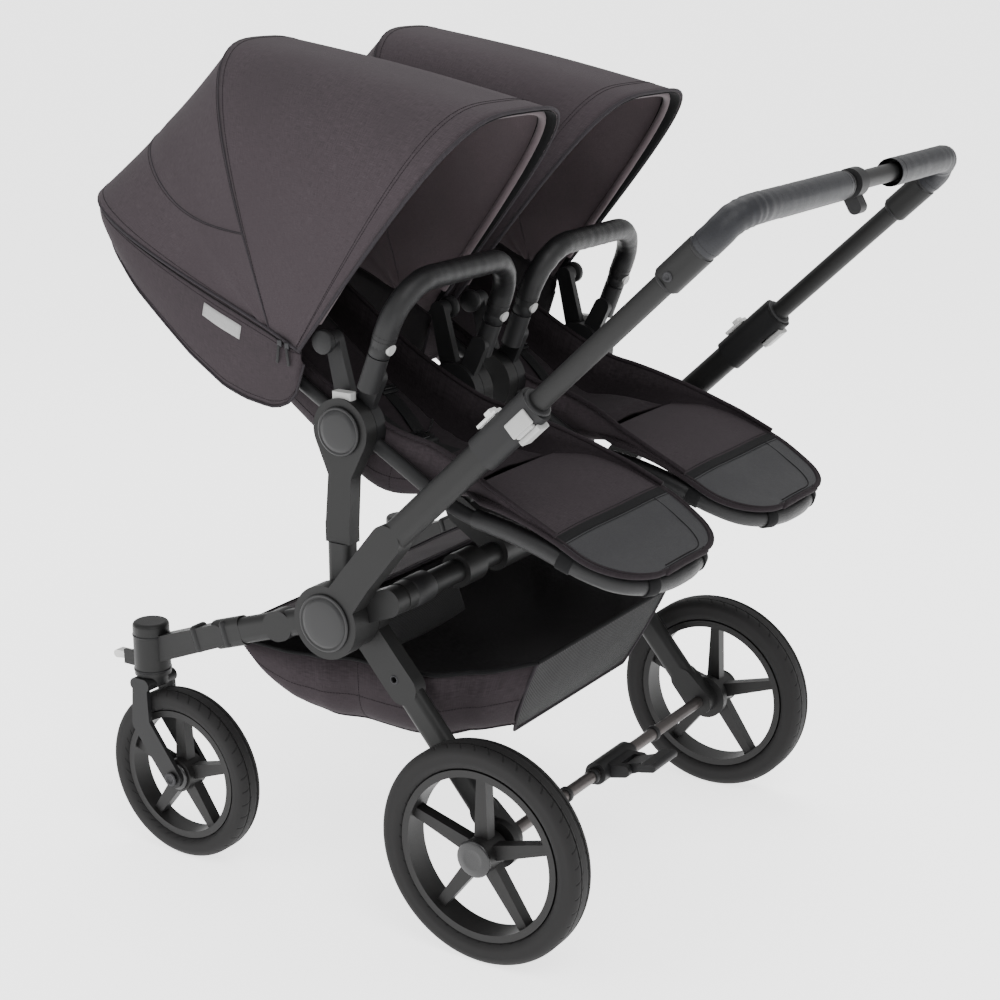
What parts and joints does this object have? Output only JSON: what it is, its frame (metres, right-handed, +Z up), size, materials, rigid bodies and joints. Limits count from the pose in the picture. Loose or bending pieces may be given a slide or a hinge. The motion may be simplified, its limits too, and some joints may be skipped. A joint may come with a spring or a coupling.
{
  "type": "twin pushchair",
  "caption": "side-by-side double pushchair with reclined hooded seats, folding chassis, height-adjustable handlebar, swivelling front casters and a carry basket",
  "frame": {"origin": "on the ground, in the middle between the sides, straight below the rear axle", "axes": "+X towards the pushchair's left side, +Y towards the person pushing, +Z up"},
  "size_m": [0.734, 1.1039, 1.1847],
  "materials": {
    "frame_black": "matte anodised",
    "plastic_black": "matte moulded",
    "wheel_black": "satin moulded",
    "tyre": "foam tread",
    "plastic_white": "satin",
    "plastic_grey": "satin",
    "grip_leather": "soft grained",
    "seat_fabric": "woven melange",
    "hood_fabric": "woven melange",
    "webbing": "woven webbing",
    "axle_metal": "gunmetal"
  },
  "bodies": {
    "chassis": {"side_frame_left": "frame_black", "side_frame_right": "frame_black", "front_arm_left": "plastic_black", "front_arm_right": "plastic_black", "seat_mount_left": "frame_black", "seat_mount_right": "frame_black", "cross_tube": "frame_black", "centre_frame": "plastic_black", "front_cross": "frame_black", "basket": "seat_fabric", "basket_cover": "seat_fabric"},
    "rear_frame": {"rear_leg_left": "frame_black", "rear_leg_right": "frame_black", "rear_axle": "axle_metal", "brake_housing": "plastic_black"},
    "brake_pedal": {"brake_pedal": "plastic_black"},
    "handle_frame": {"handle_elbow_left": "frame_black", "handle_elbow_right": "frame_black", "handle_collar_left": "plastic_black", "handle_collar_right": "plastic_black"},
    "handle_bar": {"handle_tube_left": "frame_black", "handle_tube_right": "frame_black", "crossbar": "frame_black", "grip_left": "grip_leather", "grip_right": "grip_leather", "strap_ring": "plastic_black"},
    "rear_wheel_left": {"rear_tyre_left": "tyre", "rear_rim_left": "wheel_black"},
    "front_wheel_left": {"front_tyre_left": "tyre", "front_rim_left": "wheel_black"},
    "caster_left": {"fork_left": "plastic_black"},
    "caster_lock_left": {"caster_lock_left": "plastic_white"},
    "fold_lever_left": {"fold_lever_left": "plastic_white"},
    "height_button_left": {"height_button_left": "plastic_grey"},
    "clamp_button_left": {"clamp_button_left": "plastic_grey"},
    "seat_left": {"seat_frame_left": "frame_black", "seat_shell_left": "seat_fabric", "canopy_rear_left": "hood_fabric", "canopy_front_left": "hood_fabric", "harness_left": "webbing"},
    "canopy_bow_left": {"canopy_bow_left": "frame_black"},
    "bumper_left": {"bumper_bar_left": "plastic_black"},
    "bumper_button_left": {"bumper_button_left": "plastic_grey"},
    "rear_wheel_right": {"rear_tyre_right": "tyre", "rear_rim_right": "wheel_black"},
    "front_wheel_right": {"front_tyre_right": "tyre", "front_rim_right": "wheel_black"},
    "caster_right": {"fork_right": "plastic_black"},
    "caster_lock_right": {"caster_lock_right": "plastic_white"},
    "fold_lever_right": {"fold_lever_right": "plastic_white"},
    "height_button_right": {"height_button_right": "plastic_grey"},
    "clamp_button_right": {"clamp_button_right": "plastic_grey"},
    "seat_right": {"seat_frame_right": "frame_black", "seat_shell_right": "seat_fabric", "canopy_rear_right": "hood_fabric", "canopy_front_right": "hood_fabric", "harness_right": "webbing"},
    "canopy_bow_right": {"canopy_bow_right": "frame_black"},
    "bumper_right": {"bumper_bar_right": "plastic_black"},
    "bumper_button_right": {"bumper_button_right": "plastic_grey"}
  },
  "joints": [
    {"name": "frame_fold", "type": "hinge", "parent": "chassis", "child": "handle_frame", "pos_m": [0, -0.244, 0.438], "axis": [1, 0, 0], "range_deg": [0, 120]},
    {"name": "rear_fold", "type": "hinge", "parent": "chassis", "child": "rear_frame", "pos_m": [0, -0.244, 0.438], "axis": [1, 0, 0], "range_deg": [-41, 0]},
    {"name": "handle_height", "type": "slide", "parent": "handle_frame", "child": "handle_bar", "axis": [0, 0.723, 0.6909], "range_m": [0, 0.09]},
    {"name": "brake_press", "type": "hinge", "parent": "rear_frame", "child": "brake_pedal", "pos_m": [0, 0.038, 0.162], "axis": [1, 0, 0], "range_deg": [-14, 10]},
    {"name": "rear_wheel_spin_left", "type": "hinge", "parent": "rear_frame", "child": "rear_wheel_left", "pos_m": [0.341, 0, 0.156], "axis": [1, 0, 0], "continuous": true},
    {"name": "caster_swivel_left", "type": "hinge", "parent": "chassis", "child": "caster_left", "pos_m": [0.318, -0.603, 0.3], "axis": [0, 0, 1], "continuous": true},
    {"name": "front_wheel_spin_left", "type": "hinge", "parent": "caster_left", "child": "front_wheel_left", "pos_m": [0.318, -0.547, 0.13], "axis": [1, 0, 0], "continuous": true},
    {"name": "caster_lock_tip_left", "type": "hinge", "parent": "chassis", "child": "caster_lock_left", "pos_m": [0.318, -0.641, 0.297], "axis": [1, 0, 0], "range_deg": [-20, 20]},
    {"name": "fold_lever_slide_left", "type": "slide", "parent": "handle_frame", "child": "fold_lever_left", "axis": [0, 0.723, 0.6909], "range_m": [0, 0.011], "stiffness_N_per_m": 200},
    {"name": "height_button_press_left", "type": "slide", "parent": "handle_frame", "child": "height_button_left", "axis": [0, -0.6909, 0.723], "range_m": [0, 0.0025], "stiffness_N_per_m": 400},
    {"name": "clamp_button_press_left", "type": "slide", "parent": "chassis", "child": "clamp_button_left", "axis": [0, 0, -1], "range_m": [0, 0.0045], "stiffness_N_per_m": 300},
    {"name": "seat_tilt_left", "type": "hinge", "parent": "chassis", "child": "seat_left", "pos_m": [0.175, -0.236, 0.699], "axis": [1, 0, 0], "range_deg": [-20, 12]},
    {"name": "hood_open_left", "type": "hinge", "parent": "seat_left", "child": "canopy_bow_left", "pos_m": [0.175, -0.264, 0.815], "axis": [1, 0, 0], "range_deg": [0, 45], "deforming": ["canopy_front_left"]},
    {"name": "bumper_slide_left", "type": "slide", "parent": "seat_left", "child": "bumper_left", "axis": [0, 0.3665, 0.9304], "range_m": [0, 0.04]},
    {"name": "bumper_button_press_left", "type": "slide", "parent": "bumper_left", "child": "bumper_button_left", "axis": [0, -0.9304, 0.3665], "range_m": [0, 0.0024], "stiffness_N_per_m": 300},
    {"name": "rear_wheel_spin_right", "type": "hinge", "parent": "rear_frame", "child": "rear_wheel_right", "pos_m": [-0.341, 0, 0.156], "axis": [1, 0, 0], "continuous": true},
    {"name": "caster_swivel_right", "type": "hinge", "parent": "chassis", "child": "caster_right", "pos_m": [-0.318, -0.603, 0.3], "axis": [0, 0, 1], "continuous": true},
    {"name": "front_wheel_spin_right", "type": "hinge", "parent": "caster_right", "child": "front_wheel_right", "pos_m": [-0.318, -0.547, 0.13], "axis": [1, 0, 0], "continuous": true},
    {"name": "caster_lock_tip_right", "type": "hinge", "parent": "chassis", "child": "caster_lock_right", "pos_m": [-0.318, -0.641, 0.297], "axis": [1, 0, 0], "range_deg": [-20, 20]},
    {"name": "fold_lever_slide_right", "type": "slide", "parent": "handle_frame", "child": "fold_lever_right", "axis": [0, 0.723, 0.6909], "range_m": [0, 0.011], "stiffness_N_per_m": 200},
    {"name": "height_button_press_right", "type": "slide", "parent": "handle_frame", "child": "height_button_right", "axis": [0, -0.6909, 0.723], "range_m": [0, 0.0025], "stiffness_N_per_m": 400},
    {"name": "clamp_button_press_right", "type": "slide", "parent": "chassis", "child": "clamp_button_right", "axis": [0, 0, -1], "range_m": [0, 0.0045], "stiffness_N_per_m": 300},
    {"name": "seat_tilt_right", "type": "hinge", "parent": "chassis", "child": "seat_right", "pos_m": [-0.175, -0.236, 0.699], "axis": [1, 0, 0], "range_deg": [-20, 12]},
    {"name": "hood_open_right", "type": "hinge", "parent": "seat_right", "child": "canopy_bow_right", "pos_m": [-0.175, -0.264, 0.815], "axis": [1, 0, 0], "range_deg": [0, 45], "deforming": ["canopy_front_right"]},
    {"name": "bumper_slide_right", "type": "slide", "parent": "seat_right", "child": "bumper_right", "axis": [0, 0.3665, 0.9304], "range_m": [0, 0.04]},
    {"name": "bumper_button_press_right", "type": "slide", "parent": "bumper_right", "child": "bumper_button_right", "axis": [0, -0.9304, 0.3665], "range_m": [0, 0.0024], "stiffness_N_per_m": 300}
  ],
  "couplings": [
    {"joint": "rear_fold", "follows": "frame_fold", "ratio": -0.34}
  ]
}
